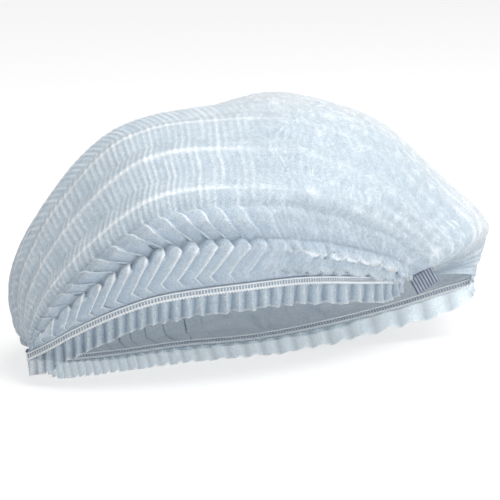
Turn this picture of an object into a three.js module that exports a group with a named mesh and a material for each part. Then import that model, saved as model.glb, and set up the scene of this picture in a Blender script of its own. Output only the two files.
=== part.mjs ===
// Disposable hair cover cap, resting on the floor with its mouth towards the front.
// Millimetres, +Z up, +X along the cap's length, -Y towards the mouth.
//
// The cap is one strip of thin nonwoven. It is folded lengthwise in pleats, crimped crosswise,
// gathered at both ends into a welded tab, and edged all round with an elastic band and a ruffle.
// A place on the crown has two shares: along, from the left weld to the right one, and round,
// from the near rim over the top to the far rim on the floor.

import * as THREE from 'three';

// Driving dimensions
const RIM_LENGTH = 254;
const CAP_DEPTH = 200;
const CAP_HEIGHT = 150;
const CROWN_WALL = 1.8;
const BAND_WIDTH = 4;
const BAND_WALL = 1.6;
const HEM_WIDTH = 12;
const HEM_WALL = 1.2;
const PLEAT_DEPTH = 16;
const CRIMP_COUNT = 26;
const CRIMP_DEPTH = 2.4;
const HEM_RUFFLE = 3.2;
const TAB_WIDTH = 16;
const TAB_HEIGHT = 11;
const TAB_WALL = 1.2;
const TAB_RIB_COUNT = 8;
const TAB_RIB_DEPTH = 0.8;
// How far the tab's root reaches into the gathered end of the crown, as a share of its depth
const TAB_TUCK = 0.45;
// How far the right tab is twisted in its own plane, in radians
const RIGHT_TAB_TURN = 0.48;
const SEAM_GAP = 0.3;

// How much of its depth a pleat loses for each share that it is drawn down
const SLIDE_PRESS = 3;
// Where cloth lies on the floor, its upper face stays this share of its wall above it
const LEAST_LAID_WALL = 0.6;

// Crimps are closer together at the left end: their first pitch as a share of the mean one
const FIRST_CRIMP_PITCH = 0.6;
// A crimp is a knife fold: a wide panel, then a short return, as a share of its pitch
const CRIMP_PANEL = 0.78;

// The two rims, from the left weld to the right one. x is a share of RIM_LENGTH, y of CAP_DEPTH,
// z of CAP_HEIGHT. droop is how far the band and ruffle lean towards the front, as the sine of
// their slope from hanging straight down, and width their own width, less where they fold under.
const NEAR_RIM = [
  { along: 0.00, x: -0.552, y: -0.165, z: 0.117, droop: 0.25, width: 1 },
  { along: 0.05, x: -0.510, y: -0.222, z: 0.172, droop: 0.16, width: 1 },
  { along: 0.10, x: -0.464, y: -0.272, z: 0.232, droop: 0.08, width: 1 },
  { along: 0.20, x: -0.372, y: -0.343, z: 0.322, droop: -0.05, width: 1 },
  { along: 0.30, x: -0.280, y: -0.376, z: 0.372, droop: -0.10, width: 1 },
  { along: 0.50, x: -0.085, y: -0.376, z: 0.397, droop: -0.12, width: 1 },
  { along: 0.65, x: 0.060, y: -0.332, z: 0.394, droop: -0.12, width: 1 },
  { along: 0.80, x: 0.222, y: -0.232, z: 0.352, droop: -0.10, width: 1 },
  { along: 0.90, x: 0.312, y: -0.132, z: 0.318, droop: -0.06, width: 1 },
  { along: 1.00, x: 0.374, y: -0.038, z: 0.285, droop: 0.00, width: 1 },
];
const FAR_RIM = [
  { along: 0.00, x: -0.500, y: -0.075, z: 0.105, droop: 0.40, width: 1 },
  { along: 0.05, x: -0.478, y: -0.083, z: 0.085, droop: 0.66, width: 1 },
  { along: 0.10, x: -0.440, y: -0.080, z: 0.070, droop: 0.80, width: 1 },
  { along: 0.25, x: -0.312, y: -0.040, z: 0.062, droop: 0.85, width: 1 },
  { along: 0.40, x: -0.165, y: 0.006, z: 0.064, droop: 0.85, width: 1 },
  { along: 0.55, x: 0.025, y: 0.025, z: 0.068, droop: 0.83, width: 1 },
  { along: 0.70, x: 0.205, y: 0.028, z: 0.106, droop: 0.78, width: 1 },
  { along: 0.80, x: 0.370, y: 0.040, z: 0.155, droop: 0.68, width: 1 },
  { along: 0.87, x: 0.490, y: 0.048, z: 0.204, droop: 0.50, width: 1 },
  { along: 0.92, x: 0.564, y: 0.030, z: 0.244, droop: 0.10, width: 0.8 },
  { along: 0.96, x: 0.530, y: -0.022, z: 0.274, droop: -0.20, width: 0.4 },
  { along: 1.00, x: 0.458, y: -0.030, z: 0.285, droop: -0.30, width: 0.3 },
];

// How the crown's middle section shrinks towards the ends, and how far it reaches past them.
// reach is a share of RIM_LENGTH. rise and spread scale the section's height and depth, and sag
// scales what lies lower than the line between the rims. slide is how far the pleats are drawn down
// towards the near rim, as a share of the way round.
const CROWN_STATIONS = [
  { along: 0.00, reach: 0.000, rise: 0.04, spread: 0.04, sag: 0.04, slide: 0.000 },
  { along: 0.03, reach: -0.050, rise: 0.16, spread: 0.16, sag: 0.16, slide: 0.000 },
  { along: 0.08, reach: -0.078, rise: 0.36, spread: 0.38, sag: 0.36, slide: 0.000 },
  { along: 0.16, reach: -0.066, rise: 0.58, spread: 0.64, sag: 0.60, slide: 0.000 },
  { along: 0.30, reach: -0.030, rise: 0.81, spread: 0.88, sag: 0.90, slide: 0.010 },
  { along: 0.50, reach: 0.000, rise: 0.93, spread: 1.00, sag: 1.00, slide: 0.050 },
  { along: 0.68, reach: 0.024, rise: 0.93, spread: 0.98, sag: 1.00, slide: 0.110 },
  { along: 0.82, reach: 0.078, rise: 0.72, spread: 0.86, sag: 0.70, slide: 0.145 },
  { along: 0.90, reach: 0.152, rise: 0.42, spread: 0.66, sag: 0.25, slide: 0.150 },
  { along: 0.95, reach: 0.195, rise: 0.17, spread: 0.38, sag: 0.00, slide: 0.130 },
  { along: 1.00, reach: 0.000, rise: 0.05, spread: 0.04, sag: 0.00, slide: 0.100 },
];

// The lengthwise folds at the middle of the cap, from the near rim over the top, down the back and
// along the floor to the far rim. y is a share of CAP_DEPTH and z of CAP_HEIGHT. fold is 1 on a
// ridge, -1 in a valley and 0 where the cloth is pressed flat. A z below 0 is cloth that the floor
// flattens. lean is how far the crimps run to the right there, in crimps, and crimp is how much of
// the crimp is left.
const FOLDS = [
  { y: -0.375, z: 0.395, fold: 0.0, lean: 0.0, crimp: 0.0 },
  { y: -0.410, z: 0.487, fold: 0.9, lean: -1.3, crimp: 1.0 },
  { y: -0.420, z: 0.580, fold: -0.9, lean: 0.0, crimp: 1.0 },
  { y: -0.420, z: 0.690, fold: 1.0, lean: -1.2, crimp: 1.0 },
  { y: -0.385, z: 0.755, fold: -1.0, lean: -0.2, crimp: 1.0 },
  { y: -0.342, z: 0.805, fold: 1.0, lean: -0.4, crimp: 1.0 },
  { y: -0.265, z: 0.870, fold: -1.0, lean: 0.1, crimp: 1.0 },
  { y: -0.180, z: 0.925, fold: 1.0, lean: 0.4, crimp: 1.0 },
  { y: -0.090, z: 0.960, fold: -1.0, lean: 0.3, crimp: 1.0 },
  { y: 0.010, z: 0.980, fold: 1.0, lean: 0.6, crimp: 1.0 },
  { y: 0.110, z: 0.980, fold: -1.0, lean: 0.2, crimp: 1.0 },
  { y: 0.210, z: 0.960, fold: 1.0, lean: -0.2, crimp: 1.0 },
  { y: 0.305, z: 0.907, fold: -1.0, lean: 0.3, crimp: 1.0 },
  { y: 0.390, z: 0.833, fold: 1.0, lean: -0.3, crimp: 1.0 },
  { y: 0.460, z: 0.740, fold: -1.0, lean: 0.3, crimp: 1.0 },
  { y: 0.510, z: 0.627, fold: 1.0, lean: -0.3, crimp: 1.0 },
  { y: 0.535, z: 0.500, fold: -1.0, lean: 0.4, crimp: 1.0 },
  { y: 0.535, z: 0.373, fold: 1.0, lean: -0.4, crimp: 1.0 },
  { y: 0.510, z: 0.253, fold: -1.0, lean: 0.4, crimp: 1.0 },
  { y: 0.460, z: 0.140, fold: 0.9, lean: -0.4, crimp: 1.0 },
  { y: 0.390, z: 0.055, fold: -0.6, lean: 0.2, crimp: 0.8 },
  { y: 0.300, z: -0.030, fold: 0.0, lean: 0.0, crimp: 0.0 },
  { y: 0.190, z: -0.030, fold: 0.0, lean: 0.0, crimp: 0.0 },
  { y: 0.100, z: 0.008, fold: 0.2, lean: 0.2, crimp: 0.5 },
  { y: 0.025, z: 0.056, fold: 0.0, lean: 0.0, crimp: 0.0 },
];

// Reads a column of a table at a share, on a smooth cubic through its rows
function readTable(rows, column, along) {
  let i = 0;
  while (i < rows.length - 2 && rows[i + 1].along < along) i += 1;
  const slopeAt = (k) => {
    const before = rows[Math.max(k - 1, 0)];
    const after = rows[Math.min(k + 1, rows.length - 1)];
    return (after[column] - before[column]) / (after.along - before.along);
  };
  const span = rows[i + 1].along - rows[i].along;
  const f = (along - rows[i].along) / span;
  const start = rows[i][column];
  const rise = rows[i + 1][column] - start;
  const startSlope = slopeAt(i) * span;
  const endSlope = slopeAt(i + 1) * span;
  const bend = 3 * rise - 2 * startSlope - endSlope;
  const twist = startSlope + endSlope - 2 * rise;
  return start + f * (startSlope + f * (bend + f * twist));
}

// Point of a rim at a share along it
function rimPoint(rim, along) {
  return new THREE.Vector3(
    readTable(rim, 'x', along) * RIM_LENGTH,
    readTable(rim, 'y', along) * CAP_DEPTH,
    readTable(rim, 'z', along) * CAP_HEIGHT,
  );
}

// Direction in which the band and ruffle hang from a rim
function hangDirection(rim, along) {
  const forward = readTable(rim, 'droop', along);
  return new THREE.Vector3(0, -forward, -Math.sqrt(1 - forward * forward));
}

const STEP = 0.002;

// Direction along a rim
function rimTangent(rim, along) {
  const from = rimPoint(rim, Math.max(along - STEP, 0));
  const to = rimPoint(rim, Math.min(along + STEP, 1));
  return to.sub(from).normalize();
}

// Direction out of the band's outer face, square to the rim and to the way it hangs.
// side is 1 on the near rim and -1 on the far one.
function rimNormal(rim, side, along) {
  return new THREE.Vector3()
    .crossVectors(hangDirection(rim, along), rimTangent(rim, along))
    .multiplyScalar(side)
    .normalize();
}

// Share along the cap of a number of crimps from the left weld
function crimpToShare(crimps) {
  const u = crimps / CRIMP_COUNT;
  return u * (FIRST_CRIMP_PITCH + (1 - FIRST_CRIMP_PITCH) * u);
}

// Share round the section of each fold row, by the length of cloth from the near rim
function foldShares() {
  const lengths = [0];
  for (let j = 1; j < FOLDS.length; j += 1) {
    const dy = (FOLDS[j].y - FOLDS[j - 1].y) * CAP_DEPTH;
    const dz = (FOLDS[j].z - FOLDS[j - 1].z) * CAP_HEIGHT;
    lengths.push(lengths[j - 1] + Math.hypot(dy, dz));
  }
  return lengths.map((length) => length / lengths[lengths.length - 1]);
}
const FOLD_SHARES = foldShares();
const SECTION = FOLDS.map((row, j) => ({ along: FOLD_SHARES[j], y: row.y, z: row.z }));

// Point on the crown without its pleats and crimps
function crownBase(along, round) {
  const near = rimPoint(NEAR_RIM, along);
  const far = rimPoint(FAR_RIM, along);
  const first = SECTION[0];
  const last = SECTION[SECTION.length - 1];
  const outY = readTable(SECTION, 'y', round) - THREE.MathUtils.lerp(first.y, last.y, round);
  const outZ = readTable(SECTION, 'z', round) - THREE.MathUtils.lerp(first.z, last.z, round);
  const reach = readTable(CROWN_STATIONS, 'reach', along) * Math.sin(Math.PI * round);
  const point = near.lerp(far, round);
  point.x += reach * RIM_LENGTH;
  point.y += outY * CAP_DEPTH * readTable(CROWN_STATIONS, 'spread', along);
  point.z += outZ * CAP_HEIGHT * readTable(CROWN_STATIONS, outZ > 0 ? 'rise' : 'sag', along);
  return point;
}

// Direction out of the crown
function crownNormal(along, round) {
  const a = THREE.MathUtils.clamp(along, STEP, 1 - STEP);
  const r = THREE.MathUtils.clamp(round, STEP, 1 - STEP);
  const lengthwise = crownBase(a + STEP, r).sub(crownBase(a - STEP, r));
  const across = crownBase(a, r + STEP).sub(crownBase(a, r - STEP));
  return lengthwise.cross(across).normalize();
}

// Closes a pair of point grids, an outer and an inner one, into one solid
function sheetGeometry(outer, inner) {
  const rows = outer.length;
  const columns = outer[0].length;
  const layer = rows * columns;
  const positions = [];
  for (const grid of [outer, inner]) {
    for (const row of grid) {
      for (const p of row) positions.push(p.x, p.y, p.z);
    }
  }
  const indices = [];
  const quad = (a, b, c, d) => indices.push(a, b, c, a, c, d);
  const at = (i, j) => i * columns + j;
  for (let i = 0; i < rows - 1; i += 1) {
    for (let j = 0; j < columns - 1; j += 1) {
      quad(at(i, j), at(i + 1, j), at(i + 1, j + 1), at(i, j + 1));
      quad(layer + at(i, j), layer + at(i, j + 1), layer + at(i + 1, j + 1), layer + at(i + 1, j));
    }
  }
  for (let i = 0; i < rows - 1; i += 1) {
    quad(at(i + 1, 0), at(i, 0), layer + at(i, 0), layer + at(i + 1, 0));
    const j = columns - 1;
    quad(at(i, j), at(i + 1, j), layer + at(i + 1, j), layer + at(i, j));
  }
  for (let j = 0; j < columns - 1; j += 1) {
    quad(at(0, j), at(0, j + 1), layer + at(0, j + 1), layer + at(0, j));
    const i = rows - 1;
    quad(at(i, j + 1), at(i, j), layer + at(i, j), layer + at(i, j + 1));
  }
  const geometry = new THREE.BufferGeometry();
  geometry.setAttribute('position', new THREE.Float32BufferAttribute(positions, 3));
  geometry.setIndex(facingOut(positions, indices));
  geometry.computeVertexNormals();
  return geometry;
}

// Turns all triangles round if they enclose a negative volume
function facingOut(positions, indices) {
  const point = (k) => new THREE.Vector3().fromArray(positions, 3 * k);
  let volume = 0;
  for (let k = 0; k < indices.length; k += 3) {
    const [a, b, c] = [point(indices[k]), point(indices[k + 1]), point(indices[k + 2])];
    volume += a.dot(b.cross(c));
  }
  return volume > 0 ? indices : indices.reverse();
}

// Crimp stations along the crown: each crimp has the foot of its panel and its standing edge
function crimpStations() {
  const stations = [];
  for (let k = 0; k < CRIMP_COUNT; k += 1) {
    stations.push({ crimps: k, out: k === 0 ? 0 : -0.5 });
    stations.push({ crimps: k + CRIMP_PANEL, out: 0.5 });
  }
  stations.push({ crimps: CRIMP_COUNT, out: 0 });
  return stations;
}

// The crown: pleats stand out along the base surface's normal, less towards the gathered ends
function makeCrown() {
  const outer = [];
  const inner = [];
  for (const station of crimpStations()) {
    const outerRow = [];
    const innerRow = [];
    const endShare = Math.sin(Math.PI * crimpToShare(station.crimps));
    const fullness = Math.min(1, readTable(CROWN_STATIONS, 'spread', crimpToShare(station.crimps)));
    FOLDS.forEach((row, j) => {
      const lean = row.lean * Math.min(1, endShare * 2);
      const shifted = THREE.MathUtils.clamp(station.crimps + lean, 0, CRIMP_COUNT);
      const along = crimpToShare(shifted);
      const slide = readTable(CROWN_STATIONS, 'slide', along);
      const round = FOLD_SHARES[j] - slide * Math.sin(Math.PI * FOLD_SHARES[j]);
      const rim = j === 0 ? NEAR_RIM : FAR_RIM;
      const onRim = j === 0 || j === FOLDS.length - 1;
      const normal = onRim ? rimNormal(rim, j === 0 ? 1 : -1, along) : crownNormal(along, round);
      const pleat = row.fold * (1 - slide * SLIDE_PRESS) * PLEAT_DEPTH / 2;
      const lift = pleat + station.out * row.crimp * CRIMP_DEPTH;
      const point = crownBase(along, round).addScaledVector(normal, lift * fullness);
      point.z = Math.max(point.z, onRim ? point.z : 0);
      const inside = point.clone().addScaledVector(normal, -CROWN_WALL);
      inside.z = Math.max(inside.z, onRim ? inside.z : CROWN_WALL);
      outerRow.push(point);
      innerRow.push(inside);
    });
    outer.push(outerRow);
    inner.push(innerRow);
  }
  return sheetGeometry(outer, inner);
}

// A strip that hangs from a rim and stops one crimp's return short of the right weld. Each of its
// levels lies below a number of seams and a width of cloth, and ripples by a share of the ruffle.
function makeRimStrip(rim, side, levels, wall, ruffle) {
  const outer = [];
  const inner = [];
  for (const station of crimpStations().slice(0, -1)) {
    const along = crimpToShare(station.crimps);
    const hang = hangDirection(rim, along);
    const normal = rimNormal(rim, side, along);
    const outerRow = [];
    const innerRow = [];
    for (const level of levels) {
      const ripple = station.out * level.ripple * ruffle;
      const drop = level.seams * SEAM_GAP + level.cloth * readTable(rim, 'width', along);
      const point = rimPoint(rim, along).addScaledVector(hang, drop);
      point.addScaledVector(normal, ripple);
      point.z = Math.max(point.z, 0);
      const inside = point.clone().addScaledVector(normal, -wall);
      inside.z = Math.max(inside.z, wall * LEAST_LAID_WALL);
      outerRow.push(point);
      innerRow.push(inside);
    }
    outer.push(outerRow);
    inner.push(innerRow);
  }
  return sheetGeometry(outer, inner);
}

function makeBand(rim, side) {
  const levels = [
    { seams: 1, cloth: 0, ripple: 0 },
    { seams: 1, cloth: BAND_WIDTH, ripple: 0 },
  ];
  return makeRimStrip(rim, side, levels, BAND_WALL, 0);
}

function makeHem(rim, side) {
  const levels = [
    { seams: 2, cloth: BAND_WIDTH, ripple: 0 },
    { seams: 2, cloth: BAND_WIDTH + HEM_WIDTH / 2, ripple: 0.7 },
    { seams: 2, cloth: BAND_WIDTH + HEM_WIDTH, ripple: 1 },
  ];
  return makeRimStrip(rim, side, levels, HEM_WALL, HEM_RUFFLE);
}

// The gathered end of the strip, welded flat between ribbed jaws
function makeTab() {
  const shape = new THREE.Shape();
  const pitch = TAB_WIDTH / TAB_RIB_COUNT;
  const half = TAB_WALL / 2;
  shape.moveTo(-TAB_WIDTH / 2, -half);
  for (let k = 0; k < TAB_RIB_COUNT; k += 1) {
    const x = -TAB_WIDTH / 2 + k * pitch;
    shape.lineTo(x + pitch / 2, -half - TAB_RIB_DEPTH);
    shape.lineTo(x + pitch, -half);
  }
  for (let k = TAB_RIB_COUNT; k > 0; k -= 1) {
    const x = -TAB_WIDTH / 2 + k * pitch;
    shape.lineTo(x, half);
    shape.lineTo(x - pitch / 2, half + TAB_RIB_DEPTH);
  }
  shape.lineTo(-TAB_WIDTH / 2, half);
  shape.closePath();
  return new THREE.ExtrudeGeometry(shape, { depth: TAB_HEIGHT, bevelEnabled: false });
}

function addMesh(group, name, geometry, color, roughness) {
  const material = new THREE.MeshStandardMaterial({ color, roughness, metalness: 0 });
  const mesh = new THREE.Mesh(geometry, material);
  mesh.name = name;
  group.add(mesh);
  return mesh;
}

// Hangs a tab from the line between the two rim ends at a weld, its root tucked into the gathers
function placeTab(mesh, end, hang, turn) {
  const near = rimPoint(NEAR_RIM, end);
  const far = rimPoint(FAR_RIM, end);
  const across = far.clone().sub(near).normalize();
  const down = hang.clone().addScaledVector(across, -hang.dot(across)).normalize();
  const facing = new THREE.Vector3().crossVectors(down, across);
  across.applyAxisAngle(facing, turn);
  down.applyAxisAngle(facing, turn);
  mesh.quaternion.setFromRotationMatrix(new THREE.Matrix4().makeBasis(across, facing, down));
  const middle = near.clone().lerp(far, 0.5);
  const tuck = crownBase(end, 0.5).distanceTo(middle) * TAB_TUCK;
  mesh.position.copy(middle).addScaledVector(down, -tuck);
}

const CLOTH = 0xcddbe4;
const ELASTIC = 0xe4eaf0;
const WELD = 0x8a98ac;
const CLOTH_ROUGHNESS = 0.9;
const WELD_ROUGHNESS = 0.45;

const cap = new THREE.Group();
cap.name = 'hair_cover_cap';
addMesh(cap, 'crown', makeCrown(), CLOTH, CLOTH_ROUGHNESS);
addMesh(cap, 'elastic_band_front', makeBand(NEAR_RIM, 1), ELASTIC, CLOTH_ROUGHNESS);
addMesh(cap, 'elastic_band_back', makeBand(FAR_RIM, -1), ELASTIC, CLOTH_ROUGHNESS);
addMesh(cap, 'hem_ruffle_front', makeHem(NEAR_RIM, 1), CLOTH, CLOTH_ROUGHNESS);
addMesh(cap, 'hem_ruffle_back', makeHem(FAR_RIM, -1), CLOTH, CLOTH_ROUGHNESS);
const leftTab = addMesh(cap, 'weld_tab_left', makeTab(), WELD, WELD_ROUGHNESS);
placeTab(leftTab, 0, new THREE.Vector3(0.85, -0.3, -0.4), 0);
const rightTab = addMesh(cap, 'weld_tab_right', makeTab(), WELD, WELD_ROUGHNESS);
placeTab(rightTab, 1, new THREE.Vector3(0.5, -0.1, -0.85), RIGHT_TAB_TURN);

// The origin is on the floor, at the middle of the cap's length and depth
const bounds = new THREE.Box3().setFromObject(cap, true);
const centre = bounds.getCenter(new THREE.Vector3());
cap.position.set(-centre.x, -centre.y, -bounds.min.z);

export default cap;
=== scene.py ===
import logging
from dataclasses import dataclass, field
from enum import Enum, IntEnum
from typing import NamedTuple, Sequence

import bpy
import numpy as np
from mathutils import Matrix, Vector


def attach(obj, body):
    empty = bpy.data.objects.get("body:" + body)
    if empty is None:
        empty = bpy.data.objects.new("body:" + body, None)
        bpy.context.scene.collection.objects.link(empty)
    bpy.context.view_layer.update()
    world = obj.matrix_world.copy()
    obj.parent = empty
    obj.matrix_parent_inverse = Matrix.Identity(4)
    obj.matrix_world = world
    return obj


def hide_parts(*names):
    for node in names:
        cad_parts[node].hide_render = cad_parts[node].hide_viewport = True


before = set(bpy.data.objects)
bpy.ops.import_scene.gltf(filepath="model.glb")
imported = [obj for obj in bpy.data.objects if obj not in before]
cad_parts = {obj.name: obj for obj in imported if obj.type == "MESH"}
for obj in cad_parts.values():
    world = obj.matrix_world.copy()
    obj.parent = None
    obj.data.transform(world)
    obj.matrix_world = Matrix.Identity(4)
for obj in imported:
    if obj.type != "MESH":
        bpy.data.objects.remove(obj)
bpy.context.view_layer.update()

LOG = logging.getLogger("hair_cover_cap")

Array = np.ndarray

# Driving sizes in metres, counts, and the right tab's turn in radians, as in the part's source
RIM_LENGTH = 0.254
CAP_DEPTH = 0.200
CAP_HEIGHT = 0.150
PLEAT_DEPTH = 0.016
CRIMP_COUNT = 26
CRIMP_DEPTH = 0.0024
BAND_WIDTH = 0.004
HEM_WIDTH = 0.012
HEM_RUFFLE = 0.0032
SEAM_GAP = 0.0003
TAB_WIDTH = 0.016
TAB_HEIGHT = 0.011
TAB_WALL = 0.0012
TAB_RIB_COUNT = 8
TAB_RIB_DEPTH = 0.0008
RIGHT_TAB_TURN = 0.48
SLIDE_PRESS = 3.0
FIRST_CRIMP_PITCH = 0.6

# How far a weld tab is tucked into the gathers of the crown's end
TAB_TUCK = 0.002

# Walls of the finished cloth and of the elastic
CLOTH_WALL = 0.0003
TAPE_WALL = 0.0012

# How far the stitches' middles lie off the rim's surface, outside and inside the elastic
STITCH_OUTSIDE = 0.0005
STITCH_INSIDE = 0.0016

# How far the part's source moves its origin, to the middle of the cap's length and depth
ORIGIN_SHIFT = (-0.012269, -0.010596, 0.0)

# Half the distance between two points from which a slope is taken, as a share
STEP = 0.002


class RimRow(NamedTuple):
    """One row of a rim: shares of the sizes, and how the band and ruffle hang there."""

    along: float
    x: float
    y: float
    z: float
    droop: float
    width: float


class StationRow(NamedTuple):
    """One row along the crown: how the middle section shrinks and reaches, and pleats slide."""

    along: float
    reach: float
    rise: float
    spread: float
    sag: float
    slide: float


class FoldRow(NamedTuple):
    """One lengthwise fold: its place at the middle of the cap, and how it is pressed."""

    y: float
    z: float
    fold: float
    lean: float
    crimp: float
    scallop: float


class SectionRow(NamedTuple):
    """A point of the middle section at a share round it."""

    along: float
    y: float
    z: float


# The rims are those of the part's source
NEAR_RIM = (
    RimRow(0.00, -0.552, -0.165, 0.117, 0.25, 1),
    RimRow(0.05, -0.510, -0.222, 0.172, 0.16, 1),
    RimRow(0.10, -0.464, -0.272, 0.232, 0.08, 1),
    RimRow(0.20, -0.372, -0.343, 0.322, -0.05, 1),
    RimRow(0.30, -0.280, -0.376, 0.372, -0.10, 1),
    RimRow(0.50, -0.085, -0.376, 0.397, -0.12, 1),
    RimRow(0.65, 0.060, -0.332, 0.394, -0.12, 1),
    RimRow(0.80, 0.222, -0.232, 0.352, -0.10, 1),
    RimRow(0.90, 0.312, -0.132, 0.318, -0.06, 1),
    RimRow(1.00, 0.374, -0.038, 0.285, 0.00, 1),
)
FAR_RIM = (
    RimRow(0.00, -0.500, -0.075, 0.105, 0.40, 1),
    RimRow(0.05, -0.478, -0.083, 0.085, 0.66, 1),
    RimRow(0.10, -0.440, -0.080, 0.070, 0.80, 1),
    RimRow(0.25, -0.312, -0.040, 0.062, 0.85, 1),
    RimRow(0.40, -0.165, 0.006, 0.064, 0.85, 1),
    RimRow(0.55, 0.025, 0.025, 0.068, 0.83, 1),
    RimRow(0.70, 0.205, 0.028, 0.106, 0.78, 1),
    RimRow(0.80, 0.370, 0.040, 0.155, 0.68, 1),
    RimRow(0.87, 0.490, 0.048, 0.204, 0.50, 1),
    RimRow(0.92, 0.564, 0.030, 0.244, 0.10, 0.8),
    RimRow(0.96, 0.530, -0.022, 0.274, -0.20, 0.4),
    RimRow(1.00, 0.458, -0.030, 0.285, -0.30, 0.3),
)
# The rises are a little fuller than in the part's source, and both ends close onto the welds
STATIONS = (
    StationRow(0.00, 0.000, 0.00, 0.00, 0.00, 0.000),
    StationRow(0.03, -0.050, 0.16, 0.16, 0.16, 0.000),
    StationRow(0.08, -0.078, 0.36, 0.38, 0.36, 0.000),
    StationRow(0.16, -0.066, 0.60, 0.64, 0.60, 0.000),
    StationRow(0.30, -0.030, 0.87, 0.88, 0.90, 0.010),
    StationRow(0.50, 0.000, 0.96, 1.00, 1.00, 0.050),
    StationRow(0.68, 0.024, 0.98, 0.98, 1.00, 0.110),
    StationRow(0.82, 0.078, 0.78, 0.86, 0.70, 0.145),
    StationRow(0.90, 0.152, 0.42, 0.66, 0.25, 0.150),
    StationRow(0.95, 0.195, 0.17, 0.38, 0.00, 0.130),
    StationRow(1.00, 0.000, 0.00, 0.00, 0.00, 0.100),
)
# The lowest folds have a relief of their own, where the part's source has one fold in and one out.
# scallop is how far the crimps' round ends stand past a fold, as a share of the next face.
FOLDS = (
    FoldRow(-0.375, 0.395, 0.0, 0.0, 0.0, 0.00),
    FoldRow(-0.396, 0.456, 0.1, -0.8, 1.0, 0.00),
    FoldRow(-0.420, 0.590, 0.6, 0.3, 1.0, 2.40),
    FoldRow(-0.420, 0.606, -0.2, 0.2, 1.0, 0.38),
    FoldRow(-0.420, 0.700, 0.5, -1.1, 1.0, 0.10),
    FoldRow(-0.385, 0.755, -0.6, -1.7, 1.0, 0.00),
    FoldRow(-0.342, 0.805, 1.0, -1.6, 1.0, 0.12),
    FoldRow(-0.265, 0.870, -1.0, -1.1, 1.0, 0.00),
    FoldRow(-0.180, 0.925, 1.0, -1.0, 1.0, 0.12),
    FoldRow(-0.090, 0.960, -1.0, -0.5, 1.0, 0.00),
    FoldRow(0.010, 0.980, 1.0, -0.2, 1.0, 0.12),
    FoldRow(0.110, 0.980, -1.0, 0.2, 1.0, 0.00),
    FoldRow(0.210, 0.960, 1.0, -0.2, 1.0, 0.12),
    FoldRow(0.305, 0.907, -1.0, 0.3, 1.0, 0.00),
    FoldRow(0.390, 0.833, 1.0, -0.3, 1.0, 0.12),
    FoldRow(0.460, 0.740, -1.0, 0.3, 1.0, 0.00),
    FoldRow(0.510, 0.627, 1.0, -0.3, 1.0, 0.12),
    FoldRow(0.535, 0.500, -1.0, 0.4, 1.0, 0.00),
    FoldRow(0.535, 0.373, 1.0, -0.4, 1.0, 0.12),
    FoldRow(0.510, 0.253, -1.0, 0.4, 1.0, 0.00),
    FoldRow(0.460, 0.140, 0.9, -0.4, 1.0, 0.10),
    FoldRow(0.390, 0.055, -0.6, 0.2, 0.8, 0.00),
    FoldRow(0.300, -0.030, 0.0, 0.0, 0.0, 0.00),
    FoldRow(0.190, -0.030, 0.0, 0.0, 0.0, 0.00),
    FoldRow(0.100, 0.008, 0.2, 0.2, 0.5, 0.00),
    FoldRow(0.025, 0.056, 0.0, 0.0, 0.0, 0.00),
)


class Side(Enum):
    """The two rims of the mouth, with the sign that turns their frames outwards."""

    NEAR = 1
    FAR = -1


class End(Enum):
    """The two welds, as shares along the cap."""

    LEFT = 0
    RIGHT = 1


class Seed(IntEnum):
    """The random lattice that each effect draws from."""

    PANEL_WANDER = 3
    LOOSE_WANDER = 4
    STREAKS = 5
    BEND_ALONG = 17
    BEND_ROUND = 18
    BROKEN_CREASE = 19
    CRUMPLE = 20
    RUFFLE_SWING = 41
    RUFFLE_CREST = 44
    RUFFLE_LENGTH = 51
    FLUTTER = 61
    WELD = 71
    LIP_TURN = 81
    LIP_SIZE = 82
    FAN = 91
    NET = 92


def read(rows: Sequence[NamedTuple], name: str, at: Array) -> Array:
    """Reads a column on a smooth cubic through its rows, whose slopes join their neighbours.

    Args:
        rows: the table's rows, with an along column.
        name: the column.
        at: shares along.

    Returns:
        The column's value at each share.
    """
    along = np.array([row.along for row in rows])
    value = np.array([getattr(row, name) for row in rows])
    before = np.maximum(np.arange(len(rows)) - 1, 0)
    after = np.minimum(np.arange(len(rows)) + 1, len(rows) - 1)
    slope = (value[after] - value[before]) / (along[after] - along[before])
    at = np.asarray(at, dtype=float)
    i = np.clip(np.searchsorted(along, at, side="left") - 1, 0, len(rows) - 2)
    span = along[i + 1] - along[i]
    f = (at - along[i]) / span
    rise = value[i + 1] - value[i]
    start, end = slope[i] * span, slope[i + 1] * span
    return value[i] + f * (start + f * (3 * rise - 2 * start - end + f * (start + end - 2 * rise)))


def smooth_step(low: float, high: float, at: Array) -> Array:
    """Rises from 0 to 1 between two values, flat at both ends."""
    f = np.clip((at - low) / (high - low), 0, 1)
    return f * f * (3 - 2 * f)


def lerp(start: Array, end: Array, share: Array) -> Array:
    """Mixes two arrays by a share."""
    return start + (end - start) * share


def unit(vectors: Array) -> Array:
    """Vectors along the last axis, made one long."""
    return vectors / np.maximum(np.linalg.norm(vectors, axis=-1, keepdims=True), 1e-12)


def lattice_noise(x: Array, y: Array, seed: int) -> Array:
    """Smooth noise from -1 to 1: random values on a square lattice, joined by smooth steps.

    Args:
        x: first coordinate, in lattice cells.
        y: second coordinate, in lattice cells.
        seed: which lattice.

    Returns:
        The noise at each point.
    """
    size = 256
    table = np.random.default_rng(seed).uniform(-1, 1, (size, size))
    i, j = np.floor(x).astype(int), np.floor(y).astype(int)
    u, v = smooth_step(0, 1, x - i), smooth_step(0, 1, y - j)
    low = lerp(table[i % size, j % size], table[(i + 1) % size, j % size], u)
    high = lerp(table[i % size, (j + 1) % size], table[(i + 1) % size, (j + 1) % size], u)
    return lerp(low, high, v)


def rim_rows(side: Side) -> tuple[RimRow, ...]:
    """The table of one rim."""
    return NEAR_RIM if side is Side.NEAR else FAR_RIM


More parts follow.
